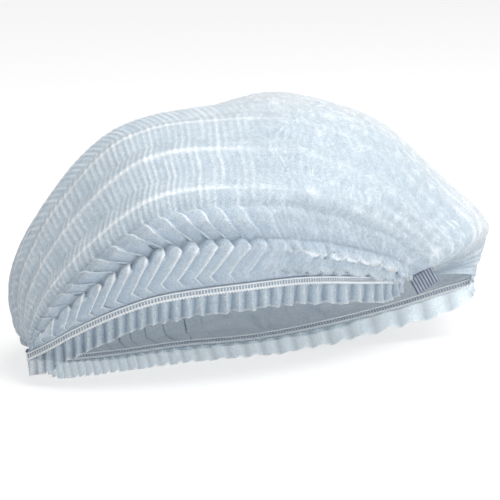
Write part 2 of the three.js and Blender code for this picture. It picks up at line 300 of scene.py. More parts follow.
def fold_shares() -> Array:
    """Share round the section of each fold row, by the length of cloth from the near rim."""
    y = np.array([row.y for row in FOLDS]) * CAP_DEPTH
    z = np.array([row.z for row in FOLDS]) * CAP_HEIGHT
    length = np.concatenate([[0], np.cumsum(np.hypot(np.diff(y), np.diff(z)))])
    return length / length[-1]


FOLD_SHARES = fold_shares()
SECTION = tuple(SectionRow(share, row.y, row.z) for share, row in zip(FOLD_SHARES, FOLDS))


@dataclass
class CapForm:
    """The cap's smooth form: its rims, and the crown's surface without pleats and crimps."""

    shift: Array = field(default_factory=lambda: np.array(ORIGIN_SHIFT))

    def rim_point(self, side: Side, along: Array) -> Array:
        """Points of a rim: each coordinate is a smooth curve through the rim's rows."""
        rows = rim_rows(side)
        sizes = (("x", RIM_LENGTH), ("y", CAP_DEPTH), ("z", CAP_HEIGHT))
        return np.stack([read(rows, n, along) * s for n, s in sizes], -1) + self.shift

    def hang(self, side: Side, along: Array) -> Array:
        """Directions in which the band and ruffle hang, square to the cap's length."""
        forward = read(rim_rows(side), "droop", along)
        return np.stack([np.zeros_like(forward), -forward, -np.sqrt(1 - forward**2)], -1)

    def rim_tangent(self, side: Side, along: Array) -> Array:
        """Directions along a rim, from the difference of two near points."""
        ahead = self.rim_point(side, np.minimum(along + STEP, 1))
        return unit(ahead - self.rim_point(side, np.maximum(along - STEP, 0)))

    def rim_normal(self, side: Side, along: Array) -> Array:
        """Directions out of the band's outer face: hang crossed with the rim's direction."""
        return unit(np.cross(self.hang(side, along), self.rim_tangent(side, along))) * side.value

    def crown(self, along: Array, around: Array) -> Array:
        """Points of the smooth crown.

        A point lies on the straight line between the two rims, moved out by what the middle
        section stands off its own straight line, scaled by the station's rise and spread, and
        pushed past the weld by its reach.

        Args:
            along: shares along the cap.
            around: shares round the section.

        Returns:
            Points, with one more axis than the shares.
        """
        near, far = self.rim_point(Side.NEAR, along), self.rim_point(Side.FAR, along)
        point = lerp(near, far, around[..., None])
        first, last = SECTION[0], SECTION[-1]
        out_y = read(SECTION, "y", around) - lerp(first.y, last.y, around)
        out_z = read(SECTION, "z", around) - lerp(first.z, last.z, around)
        height = np.where(out_z > 0, read(STATIONS, "rise", along), read(STATIONS, "sag", along))
        point[..., 0] += read(STATIONS, "reach", along) * np.sin(np.pi * around) * RIM_LENGTH
        point[..., 1] += out_y * CAP_DEPTH * read(STATIONS, "spread", along)
        point[..., 2] += out_z * CAP_HEIGHT * height
        return point

    def crown_normal(self, along: Array, around: Array) -> Array:
        """Directions out of the crown: the cross of its two slopes."""
        a, r = np.clip(along, STEP, 1 - STEP), np.clip(around, STEP, 1 - STEP)
        lengthwise = self.crown(a + STEP, r) - self.crown(a - STEP, r)
        across = self.crown(a, r + STEP) - self.crown(a, r - STEP)
        return unit(np.cross(lengthwise, across))


def crimp_to_share(crimps: Array, count: int = CRIMP_COUNT) -> Array:
    """Share along the cap of a number of crimps: their pitch grows evenly to the right."""
    u = crimps / count
    return u * (FIRST_CRIMP_PITCH + (1 - FIRST_CRIMP_PITCH) * u)


@dataclass
class KnifePleats:
    """The crimps across the cap: wide panels whose edge stands over the next one's foot."""

    per_crimp: int = 15
    count: int = CRIMP_COUNT
    streaks: int = 3
    phase_knots: tuple[float, ...] = (0.0, 0.73, 0.80, 0.90, 1.0)
    place_knots: tuple[float, ...] = (0.0, 0.84, 0.90, 0.84, 1.0)
    height_knots: tuple[float, ...] = (-0.5, 0.42, 0.46, -0.32, -0.5)

    def columns(self) -> tuple[Array, Array, Array]:
        """Columns of the crimps: a chain of straight knots, repeated for each crimp.

        Returns:
            Place in crimps, height from -0.5 to 0.5, and phase from 0 to 1 of each column.
        """
        position = np.arange(self.count * self.per_crimp + 1) / self.per_crimp
        whole = np.minimum(np.floor(position), self.count - 1)
        phase = position - whole
        place = whole + np.interp(phase, self.phase_knots, self.place_knots)
        return place, np.interp(phase, self.phase_knots, self.height_knots), phase

    def streak(self, phase: Array) -> Array:
        """Narrow ridges, some to a crimp: 1 on a ridge, 0 a fifth of its pitch away."""
        local = phase * self.streaks
        return np.clip(1 - np.abs(local - np.floor(local) - 0.5) / 0.35, 0, 1)

    def foot(self, phase: Array) -> Array:
        """How deep a column lies, as painted shade: 1 in the return, fading up the panel to its middle."""
        under = smooth_step(self.phase_knots[2] + 0.04, self.phase_knots[3], phase)
        return np.maximum(under, np.clip(1 - phase / 0.55, 0, 1) ** 1.5)

    def edge(self, phase: Array) -> Array:
        """How near a column is to the standing edge, 1 on it and 0 an eighth of a crimp away."""
        return np.clip(1.25 - 1.25 * np.abs(phase - self.phase_knots[2] + 0.03) / 0.125, 0, 1)


def make_grid(
    name: str, points: Array, values: dict[str, Array], cloth: tuple[Array, Array]
) -> bpy.types.Object:
    """Makes a sheet of quads from a grid of points.

    Args:
        name: the piece's name.
        points: rows by columns by 3, in metres.
        values: point attributes by name, each rows by columns.
        cloth: places on the flat cloth in metres, along and round, for the cloth UV map.

    Returns:
        The object, at the origin.
    """
    rows, columns = points.shape[:2]
    index = np.arange(rows * columns).reshape(rows, columns)
    quads = np.stack([index[:-1, :-1], index[:-1, 1:], index[1:, 1:], index[1:, :-1]], -1)
    mesh = make_mesh(name, points.reshape(-1, 3), quads.reshape(-1, 4))
    for key, value in values.items():
        layer = mesh.attributes.new(key, "FLOAT", "POINT")
        whole = np.broadcast_to(value, points.shape[:2]).astype(np.float32)
        layer.data.foreach_set("value", whole.ravel())
    corners = np.empty(len(mesh.loops), dtype=np.int32)
    mesh.loops.foreach_get("vertex_index", corners)
    flat = np.stack([np.broadcast_to(v, points.shape[:2]).ravel() for v in cloth], -1)
    mesh.uv_layers.new(name="cloth").data.foreach_set("uv", flat[corners].astype(np.float32).ravel())
    return link(name, mesh)


def make_mesh(name: str, points: Array, quads: Array) -> bpy.types.Mesh:
    """Makes a mesh of quads from whole arrays, smooth shaded.

    Args:
        name: the mesh's name.
        points: points by 3, in metres.
        quads: quads by 4, as numbers of points.

    Returns:
        The mesh.
    """
    mesh = bpy.data.meshes.new(name)
    mesh.vertices.add(len(points))
    mesh.vertices.foreach_set("co", points.astype(np.float32).ravel())
    mesh.loops.add(quads.size)
    mesh.loops.foreach_set("vertex_index", quads.astype(np.int32).ravel())
    mesh.polygons.add(len(quads))
    mesh.polygons.foreach_set("loop_start", np.arange(0, quads.size, 4, dtype=np.int32))
    mesh.update(calc_edges=True)
    mesh.validate()
    mesh.polygons.foreach_set("use_smooth", np.ones(len(mesh.polygons), dtype=bool))
    return mesh


def link(name: str, mesh: bpy.types.Mesh) -> bpy.types.Object:
    """Puts a mesh in the scene as an object at the origin."""
    piece = bpy.data.objects.new(name, mesh)
    bpy.context.scene.collection.objects.link(piece)
    return piece


def thicken(piece: bpy.types.Object, wall: float, inner_slot: int = 0) -> None:
    """Gives a sheet its wall, from its outer face inwards.

    Args:
        piece: the sheet.
        wall: its thickness in metres.
        inner_slot: how many material slots further the inner face's material is.
    """
    solid = piece.modifiers.new("wall", "SOLIDIFY")
    solid.thickness = wall
    solid.offset = -1.0
    solid.use_even_offset = False
    solid.material_offset = inner_slot


def dress(piece: bpy.types.Object, material: bpy.types.Material) -> None:
    """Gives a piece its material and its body.

    Args:
        piece: the piece.
        material: its finish.
    """
    piece.data.materials.append(material)
    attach(piece, "root")
    LOG.info("%s: %d faces", piece.name, len(piece.data.polygons))


@dataclass
class CrownGrid:
    """Where the crown's points lie over its folds and crimps; arrays of rows by columns.

    Attributes:
        row: fold rows, counted from the near rim.
        index: the fold row before each point.
        share: how far each point is on its way to the next fold row.
        window: 0 on both rims, 1 a little way in.
        place: places in crimps, with the panels' overlap.
        even: places in crimps at an even pitch.
        height: the crimps' height, from -0.5 to 0.5.
        phase: shares through each crimp.
        loose: 1 in the loose cloth at the right.
        soft: 1 where the crimps are pressed.
    """

    row: Array
    index: Array
    share: Array
    window: Array
    place: Array
    even: Array
    height: Array
    phase: Array
    loose: Array
    soft: Array


@dataclass
class Crown:
    """The pleated and crimped bag of nonwoven."""

    form: CapForm
    pleats: KnifePleats = field(default_factory=KnifePleats)
    rows_per_face: int = 5
    wall: float = CLOTH_WALL
    face_sag: float = 0.0010
    flat_size: tuple[float, float] = (0.49, 0.37)
    cloth_round: float = 0.45
    wander: float = 0.20
    soft_rows: tuple[float, float] = (4.2, 5.6)
    firm_rows: tuple[float, float] = (17.6, 18.6)
    soft_height: float = 0.28
    soft_press: float = 0.58
    firm_press: float = 0.86
    fan_count: float = 42.0
    fan_depth: float = 0.0016
    frill_rows: tuple[float, ...] = (1.15, 2.0)
    frill_sizes: tuple[float, ...] = (0.8, 1.0)
    frill_waves: float = 1.3
    frill_out: float = 0.0058
    frill_drop: float = 0.0050
    frill_wave: float = 0.0028
    net_along: tuple[float, float] = (0.34, 0.64)
    crumple_sizes: tuple[float, ...] = (0.024, 0.012, 0.006)
    crumple_depths: tuple[float, ...] = (0.0030, 0.0017, 0.0010)
    crumple_least: float = 0.16
    loose_along: tuple[float, float] = (0.40, 0.62)
    calm_along: tuple[float, float] = (0.80, 0.94)

    def build(self) -> bpy.types.Object:
        """Makes the crown's sheet.

        Each point is the smooth crown's, at a place leaned by its fold row, moved out along
        the normal by the pleat, the crimp and the crumple.

        Returns:
            The crown.
        """
        grid = self.grid()
        ends = crimp_to_share(grid.place)
        along = self.lengthwise(grid, ends)
        slide = read(STATIONS, "slide", along)
        around = self.rounds(grid)
        around = around - slide * np.sin(np.pi * around)
        uneven = 0.55 + 0.45 * lattice_noise(grid.even * 3.1, grid.row * 0.7, Seed.STREAKS)
        ridge = self.pleats.streak(grid.phase) * uneven
        crumple, crease = self.crumple(along, around)
        gather, ray, trough = self.fan(along, around)
        lip, wave, dip = self.frill(grid.row, grid.even, along)
        lift = self.relief(grid, slide, ridge) + (crumple + gather) * grid.window
        lift = lift * np.minimum(1, read(STATIONS, "spread", ends))
        lift = lift + lip * (0.35 + 0.65 * wave) * self.frill_out
        normal = self.form.crown_normal(along, around)
        points = self.form.crown(along, around) + normal * lift[..., None]
        points[..., 2] -= lip * (self.frill_drop + self.frill_wave * dip)
        points[..., 2] = np.maximum(points[..., 2], self.wall)
        # The material's attributes: whitening on folds and ridges, partly doubled cloth and partly painted
        # highlight; painted shade in the hollows; and the net patch, also painted lighter.
        values = {
            "edge": self.painted_highlight_and_doubling(grid, ridge, lip, ray, crease),
            "fold": self.crest(grid),
            "painted_shade": self.painted_shade_depth(grid, lip, trough),
            "net": self.sheer(along, around),
        }
        piece = make_grid("crown_cloth", points, values, (along * RIM_LENGTH, around * self.cloth_round))
        # The inner face takes the second material, a darker copy with painted shade.
        thicken(piece, self.wall, inner_slot=1)
        return piece

    def grid(self) -> CrownGrid:
        """Lays out the crown's points over its folds and crimps.

        Crimps are pressed soft between the soft and the firm rows, and in the loose cloth.

        Returns:
            The layout.
        """
        knife, height, phase = self.pleats.columns()
        last = len(FOLDS) - 1
        row = np.arange(last * self.rows_per_face + 1)[:, None] / self.rows_per_face
        index = np.minimum(np.floor(row).astype(int), last - 1)
        even = np.arange(len(knife)) / self.pleats.per_crimp
        loose = smooth_step(*self.loose_along, crimp_to_share(even))
        pressed = smooth_step(*self.soft_rows, row) * (1 - smooth_step(*self.firm_rows, row))
        soft = np.maximum(pressed, 0.95 * loose)
        knife, height, phase = (np.broadcast_to(v, soft.shape) for v in (knife, height, phase))
        window = np.clip(np.minimum(row, last - row) / 0.6, 0, 1)
        place = lerp(knife, even, soft)
        return CrownGrid(row, index, row - index, window, place, even, height, phase, loose, soft)

    @staticmethod
    def mix(name: str, grid: CrownGrid) -> Array:
        """A fold column between two rows, on a straight line."""
        value = np.array([getattr(row, name) for row in FOLDS])
        return lerp(value[grid.index], value[grid.index + 1], grid.share)

    def lengthwise(self, grid: CrownGrid, ends: Array) -> Array:
        """Shares along the cap: each fold row leans its crimps, and they wander a little.

        Args:
            grid: the crown's layout.
            ends: shares along the cap before they lean.

        Returns:
            The shares.
        """
        lean = self.mix("lean", grid) * np.minimum(1, np.sin(np.pi * ends) * 2)
        calm = 1 - smooth_step(*self.calm_along, ends)
        stray = lattice_noise(grid.even * 1.3, grid.row * 2.2, Seed.LOOSE_WANDER) * grid.loose
        panels = lattice_noise(np.floor(grid.even) * 1.7, grid.row * 0.6, Seed.PANEL_WANDER)
        stray = (stray + panels * (1 - grid.soft)) * calm
        place = grid.place + lean * (1 - 0.5 * grid.loose) + self.wander * grid.window * stray
        return crimp_to_share(np.clip(place, 0, CRIMP_COUNT))

    def rounds(self, grid: CrownGrid) -> Array:
        """Shares round the section: straight between the fold rows, with arched scallops.

        Args:
            grid: the crown's layout.

        Returns:
            The shares.
        """
        scallop = np.array([row.scallop for row in FOLDS])
        arch = (4 * grid.phase * (1 - grid.phase) - 0.5) * (1 - grid.soft)
        reach = scallop * np.diff(FOLD_SHARES, append=1.0)
        low = FOLD_SHARES[grid.index] + reach[grid.index] * arch
        high = FOLD_SHARES[grid.index + 1] + reach[grid.index + 1] * arch
        return lerp(low, high, grid.share)

    def relief(self, grid: CrownGrid, slide: Array, ridge: Array) -> Array:
        """Lift of the pleats and crimps, and of the cloth's arch between two folds.

        Args:
            grid: the crown's layout.
            slide: how far the pleats slide at each point.
            ridge: how near each point is to a fine streak, up to 1.

        Returns:
            The lift in metres.
        """
        fine = (ridge - 0.3) * self.soft_height * (1 - 0.75 * grid.loose)
        height = lerp(grid.height, fine, grid.soft)
        arch = 4 * grid.share * (1 - grid.share) * self.face_sag
        press = (1 - slide * SLIDE_PRESS) * (self.firm_press - self.soft_press * grid.soft)
        pleat = self.mix("fold", grid) * PLEAT_DEPTH / 2 * press * (1 - 0.3 * grid.loose)
        return pleat + arch * grid.window + height * self.mix("crimp", grid) * CRIMP_DEPTH

    def crest(self, grid: CrownGrid) -> Array:
        """How near each point is to the crest of an outward fold, where the cloth gets a painted highlight.

        Args:
            grid: the crown's layout.

        Returns:
            The nearness, from 0 to 1.
        """
        outward = np.clip(self.mix("fold", grid) * 1.4 - 0.4, 0, 1)
        near = np.clip(1 - 5 * np.minimum(grid.share, 1 - grid.share), 0, 1)
        return outward * near * (1 - 0.8 * grid.loose)

    def painted_highlight_and_doubling(self, grid: CrownGrid, ridge: Array, lip: Array, ray: Array, crease: Array) -> Array:
        """Where the cloth is drawn whiter: partly where it doubles on the crimps' edges, partly as painted
        highlight on streaks, creases, gathers and lips.

        Args:
            grid: the crown's layout.
            ridge: how near each point is to a fine streak.
            lip: how near it is to a loose lip's edge.
            ray: how near it is to a gather's ridge.
            crease: how near it is to a crumple's ridge.

        Returns:
            The whitening, partly painted highlight, from 0 to 1.
        """
        edge = lerp(self.pleats.edge(grid.phase), np.clip(ridge, 0, 1), grid.soft)
        edge = edge * self.mix("crimp", grid) * (1 - 0.6 * grid.loose)
        edge = np.maximum(edge, 0.8 * crease * grid.loose * (1 - lip))
        return np.maximum(np.maximum(edge, 0.8 * ray), np.clip(2.6 * lip - 1.5, 0, 1))

    def painted_shade_depth(self, grid: CrownGrid, lip: Array, trough: Array) -> Array:
        """Painted shade where the cloth lies deep: at the rim, at the crimps' feet, between gathers, under
        lips.

        Args:
            grid: the crown's layout.
            lip: how near each point is to a loose lip's edge.
            trough: how deep it lies between two gathers.

        Returns:
            The strength of the painted shade, from 0 to 1.
        """
        rim = np.clip(1 - grid.row / 0.9, 0, 1) * (1 - self.pleats.edge(grid.phase)) * (1 - grid.loose)
        feet = self.pleats.foot(grid.phase) * (1 - grid.soft) * self.mix("crimp", grid)
        under = grid.loose * np.clip(1.5 - grid.row / 3.2, 0, 1) * (1 - np.clip(1.4 * lip, 0, 1))
        return np.clip(0.8 * rim + feet + trough + under, 0, 1)

    def sheer(self, along: Array, around: Array) -> Array:
        """Where one sheer layer shows as a net, its colour also painted lighter: a patch on the upper
        right.

        Args:
            along: shares along the cap.
            around: shares round the section.

        Returns:
            The net's strength, from 0 to 1.
        """
        net = smooth_step(*self.net_along, along) * smooth_step(0.22, 0.40, around)
        patchy = 0.8 + 0.2 * lattice_noise(along * 9, around * 9, Seed.NET)
        return net * (1 - smooth_step(0.46, 0.70, around)) * patchy

    def frill(self, row: Array, even: Array, along: Array) -> tuple[Array, Array, Array]:
        """The lowest pleats' loose edges at the right, which hang over as wavy lips.

        Args:
            row: fold rows, counted from the near rim.
            even: places in crimps.
            along: shares along the cap.

        Returns:
            How near each point is to a lip's edge, up to 1, and the lip's two waves, from -1 to 1
            and a quarter turn apart.
        """
        lip = np.zeros(np.broadcast(row, even).shape)
        for crest, size in zip(self.frill_rows, self.frill_sizes):
            lip = np.maximum(lip, np.clip(1 - np.abs(row - crest) / 0.6, 0, 1) * size)
        lip = lip * smooth_step(0.40, 0.68, along) * (1 - smooth_step(0.90, 0.97, along))
        turn = self.frill_waves * even + 0.8 * lattice_noise(even * 0.9, row * 0.35, Seed.LIP_TURN)
        size = 0.7 + 0.3 * lattice_noise(even * 0.7, row * 0.3, Seed.LIP_SIZE)
        return lip, np.sin(2 * np.pi * turn) * size, np.cos(2 * np.pi * turn) * size

    def fan(self, along: Array, around: Array) -> tuple[Array, Array, Array]:
        """The gathers that run together at both welds: sharp-ridged noise round the section.

        Args:
            along: shares along the cap.
            around: shares round the section.

        Returns:
            The lift in metres; how near each point is to a ridge, for a painted highlight; and how deep it
            is in a trough, for painted shade.
        """
        strength = smooth_step(0.80, 0.94, along) + (1 - smooth_step(0.03, 0.16, along))
        noise = np.abs(lattice_noise(around * self.fan_count, along * 7, Seed.FAN))
        ray = np.clip(1 - noise / 0.16, 0, 1) * strength
        return self.fan_depth * (0.4 - noise) * strength, ray, np.clip(noise - 0.3, 0, 1) * strength

    def crumple(self, along: Array, around: Array) -> tuple[Array, Array]:
        """Random creases: sharp-ridged noise in three sizes, most at the right end.

        Args:
            along: shares along the cap.
            around: shares round the section.

        Returns:
            The lift in metres, and how near each point is to a crease's ridge, up to 1, which gets a
            painted highlight.
        """
        strength = lerp(self.crumple_least, 1.0, smooth_step(0.42, 0.80, along))
        x, y = along * RIM_LENGTH, around * self.cloth_round
        bend = self.crumple_sizes[0] * 0.18
        x = x + bend * lattice_noise(x / 0.03, y / 0.03, Seed.BEND_ALONG)
        y = y + bend * lattice_noise(x / 0.03, y / 0.03, Seed.BEND_ROUND)
        total = np.zeros(np.broadcast(along, around).shape)
        crease = np.zeros_like(total)
        for k, (size, depth) in enumerate(zip(self.crumple_sizes, self.crumple_depths)):
            noise = lattice_noise(x / size + 31.7 * k, y / size + 11.3 * k, Seed.CRUMPLE + k)
            total = total + depth * (0.5 - np.abs(noise))
            if k:
                crease = np.maximum(crease, np.clip(1 - np.abs(noise) / 0.10, 0, 1))
        broken = np.clip(0.5 + lattice_noise(x / 0.006, y / 0.004, Seed.BROKEN_CREASE), 0, 1)
        return total * strength, crease * broken * 0.75


@dataclass
class RimStrip:
    """A strip that hangs from a rim: the elastic band or the hem ruffle."""

    form: CapForm
    side: Side
    name: str
    top: float
    depth: float
    wall: float
    rows: int
    ripple: float
    pleats: KnifePleats = field(default_factory=KnifePleats)
    end_fullness: tuple[float, float] = (0.72, 0.45)
    last: dict[Side, float] = field(default_factory=lambda: {Side.NEAR: 0.985, Side.FAR: 0.945})

    def build(self) -> bpy.types.Object:
        """Makes the strip: each column hangs from the rim, rippled more towards its free edge.

        Returns:
            The strip.
        """
        phase = self.pleats.columns()[2]
        place = np.arange(len(phase)) / self.pleats.per_crimp
        stop = int(np.searchsorted(crimp_to_share(place, self.pleats.count), self.last[self.side]))
        place, phase = place[:stop], phase[:stop]
        round_top = np.abs(np.sin(np.pi * phase))
        along = crimp_to_share(place + 0.10 * np.sin(2 * np.pi * phase), self.pleats.count)
        wave = (round_top - 0.5) * self.side.value
        level = np.linspace(0, 1, self.rows)[:, None]
        width = read(rim_rows(self.side), "width", along)
        seed = Seed.RUFFLE_SWING + self.side.value
        stray = 1 + 0.35 * lattice_noise(place * 0.9, np.full_like(place, 2.5), seed)
        drop = self.top + level * self.depth * width * self.fullness(along, level)
        ripple = wave * stray * (0.3 + 0.7 * level) * self.ripple
        ripple = ripple + self.flutter(along, level)
        normal, hang = self.form.rim_normal(self.side, along), self.form.hang(self.side, along)
        points = self.form.rim_point(self.side, along)[None] + hang[None] * drop[..., None]
        points = points + normal[None] * ripple[..., None]
        points[..., 2] = np.maximum(points[..., 2], self.wall)
        # Painted highlight on the gathers' crests and painted shade in the hollows between them; the lowest
        # rows are drawn whiter and more opaque.
        crest = np.clip(1 - np.abs(phase - 0.42) / 0.12, 0, 1)
        crest = crest * (0.5 + 0.5 * lattice_noise(place * 1.3, level * 3, Seed.RUFFLE_CREST))
        values = {
            "edge": crest,
            "fold": np.clip(1 - (1 - level) * 12, 0, 1),
            "painted_shade": np.clip(1 - 1.5 * round_top, 0, 1) * bool(self.ripple),
            "net": np.zeros_like(level),
        }
        piece = make_grid(self.name, points, values, (along[None] * RIM_LENGTH, drop))
        if self.side is Side.NEAR:
            piece.data.flip_normals()
        thicken(piece, self.wall)
        return piece

    def fullness(self, along: Array, level: Array) -> Array:
        """How long the strip hangs: a ruffle is uneven, and tapers to its ends.

        Args:
            along: shares along the rim.
            level: shares down the strip.

        Returns:
            The length as a share of the strip's depth.
        """
        if not self.ripple:
            return np.ones(np.broadcast(along, level).shape)
        left, right = self.end_fullness
        taper = lerp(left, 1, smooth_step(0, 0.06, along)) * lerp(1, right, smooth_step(0.86, 0.99, along))
        across = np.full_like(level, 0.5)
        return taper * (1 + 0.09 * lattice_noise(along * 60, across, Seed.RUFFLE_LENGTH + self.side.value))

    def flutter(self, along: Array, level: Array) -> Array:
        """Small loose waves of the ruffle in metres, none at its seam."""
        depth = 0.0011 if self.ripple else 0.0
        return depth * level * lattice_noise(along * 90, level * 2.0, Seed.FLUTTER + self.side.value)


@dataclass
class Overlock:
    """The overlock stitching on one face of a band: two rails, rungs and loops."""

    form: CapForm
    side: Side
    face: float
    name: str
    pitch: float = 0.0018
    rail_radius: float = 0.00046
    rung_radius: float = 0.00036
    stand_off: float = STITCH_OUTSIDE
    sides: int = 5
    stop: dict[Side, float] = field(default_factory=lambda: {Side.NEAR: 0.975, Side.FAR: 0.93})
    rung_drops: tuple[float, ...] = (0.00, 0.50, 1.00, 1.22, 1.30, 1.18, 1.00)
    rung_shifts: tuple[float, ...] = (0.00, 0.10, 0.20, 0.30, 0.55, 0.80, 0.85)

    def build(self) -> bpy.types.Object:
        """Makes the threads as tubes along paths on the band's face.

        Returns:
            The stitching, all threads in one mesh.
        """
        along = self.even_shares()
        top, bottom = SEAM_GAP + self.rail_radius, SEAM_GAP + BAND_WIDTH - self.rail_radius
        fine = np.linspace(along[0], along[-1], 3 * len(along))
        wave = 0.00012 * np.sin(np.arange(len(fine)) * 2 * np.pi / 3)
        paths = [self.tube(fine[None], (top + wave)[None], self.rail_radius)]
        paths.append(self.tube(fine[None], (bottom - wave)[None], self.rail_radius))
        step = np.gradient(along)
        shift = np.array(self.rung_shifts)[None] * step[:, None]
        drops = top + np.array(self.rung_drops)[None] * (bottom - top)
        drops = np.broadcast_to(drops, (len(along), len(self.rung_drops)))
        paths.append(self.tube(np.clip(along[:, None] + shift, 0, 1), drops, self.rung_radius))
        points = np.concatenate([p for p, _ in paths])
        starts = np.cumsum([0] + [len(p) for p, _ in paths[:-1]])
        quads = np.concatenate([q + start for (_, q), start in zip(paths, starts)])
        return link(self.name, make_mesh(self.name, points, quads))

    def even_shares(self) -> Array:
        """Shares along the rim at even distances of one stitch pitch.

        Returns:
            One share for each stitch.
        """
        along = np.linspace(0.002, self.stop[self.side], 2000)
        points = self.form.rim_point(self.side, along)
        length = np.concatenate([[0], np.cumsum(np.linalg.norm(np.diff(points, axis=0), axis=1))])
        return np.interp(np.arange(0, length[-1], self.pitch), length, along)

    def tube(self, along: Array, drop: Array, radius: float) -> tuple[Array, Array]:
        """Tubes round many paths: a ring of points at each place, narrowed almost to a point at each end.

        Args:
            along: threads by places, shares along the rim.
            drop: threads by places, distances below the rim.
            radius: the thread's radius.

        Returns:
            Points and quads.
        """
        width = read(rim_rows(self.side), "width", along)
        normal, hang = self.form.rim_normal(self.side, along), self.form.hang(self.side, along)
        tangent = self.form.rim_tangent(self.side, along)
        centre = self.form.rim_point(self.side, along) + hang * (drop * width)[..., None]
        centre = centre + normal * self.face * self.stand_off
        run = unit(np.gradient(centre, axis=1))
        across = unit(np.cross(run, normal))
        flat = np.linalg.norm(np.cross(run, normal), axis=-1, keepdims=True) < 0.2
        across = np.where(flat, tangent, across)
        angle = np.linspace(0, 2 * np.pi, self.sides, endpoint=False)
        ring = np.cos(angle)[:, None] * normal[..., None, :] + np.sin(angle)[:, None] * across[..., None, :]
        taper = np.ones(along.shape[1])
        taper[[0, -1]] = 0.05
        points = centre[..., None, :] + ring * radius * taper[None, :, None, None]
        threads, places = along.shape
        index = np.arange(threads * places * self.sides).reshape(threads, places, self.sides)
        ahead = np.roll(index, -1, axis=2)
        quads = np.stack([index[:, :-1], index[:, 1:], ahead[:, 1:], ahead[:, :-1]], -1)
        return points.reshape(-1, 3), quads.reshape(-1, 4)


@dataclass
class WeldTab:
    """A strip end gathered flat and welded between ribbed jaws."""

    form: CapForm
    end: End
    hang: tuple[float, float, float]
    turn: float
    name: str
    columns_per_rib: int = 10
    rows: int = 14

    def build(self) -> bpy.types.Object:
        """Makes the tab: two ribbed faces, whose ribs rise as the square of a sine, and edges.

        Returns:
            The tab, closed all round.
        """
        end = np.array(float(self.end.value))
        near, far = self.form.rim_point(Side.NEAR, end), self.form.rim_point(Side.FAR, end)
        across = unit(far - near)
        hang = np.array(self.hang)
        down = unit(hang - across * np.dot(hang, across))
        facing = np.cross(down, across)
        across, down = (
            across * np.cos(self.turn) - down * np.sin(self.turn),
            down * np.cos(self.turn) + across * np.sin(self.turn),
        )
        middle = (near + far) / 2
        u = np.linspace(0, 1, TAB_RIB_COUNT * self.columns_per_rib + 1)
        v = np.linspace(0, 1, self.rows)[:, None]
        rib = np.sin(np.pi * u * TAB_RIB_COUNT) ** 2 * np.sin(np.pi * np.clip(v, 0.04, 0.96)) ** 0.25
        half = TAB_WALL / 2 + rib * TAB_RIB_DEPTH + 0.00012 * lattice_noise(u * 40, v * 9, Seed.WELD)
        spot = middle - down * TAB_TUCK + across * ((u - 0.5) * TAB_WIDTH)[None, :, None]
        spot = spot + down * (v * TAB_HEIGHT)[..., None]
        front, back = spot + facing * half[..., None], spot - facing * half[..., None]
        ring = np.concatenate([front, back[:, ::-1]], axis=1)
        mesh = make_mesh(self.name, *self.closed(ring))
        # Painted shade in the grooves between the ribs.
        painted_groove_shade = np.broadcast_to(1 - np.concatenate([rib, rib[:, ::-1]], axis=1), ring.shape[:2])
        layer = mesh.attributes.new("painted_shade", "FLOAT", "POINT")
        layer.data.foreach_set("value", painted_groove_shade.astype(np.float32).ravel())
        return link(self.name, mesh)

    @staticmethod
    def closed(ring: Array) -> tuple[Array, Array]:
        """Joins rings of points one below the other, and closes the first and last with quads.

        Args:
            ring: rows by points by 3, each row once round.

        Returns:
            Points and quads.
        """
        rows, count = ring.shape[:2]
        index = np.arange(rows * count).reshape(rows, count)
        ahead = np.roll(index, -1, axis=1)
        quads = np.stack([index[:-1], index[1:], ahead[1:], ahead[:-1]], -1).reshape(-1, 4)
        half = count // 2
        front, back = index[:, :half], index[:, half:][:, ::-1]
        top = np.stack([front[0, :-1], front[0, 1:], back[0, 1:], back[0, :-1]], -1)
        bottom = np.stack([front[-1, :-1], back[-1, :-1], back[-1, 1:], front[-1, 1:]], -1)
        return ring.reshape(-1, 3), np.concatenate([quads, top, bottom])


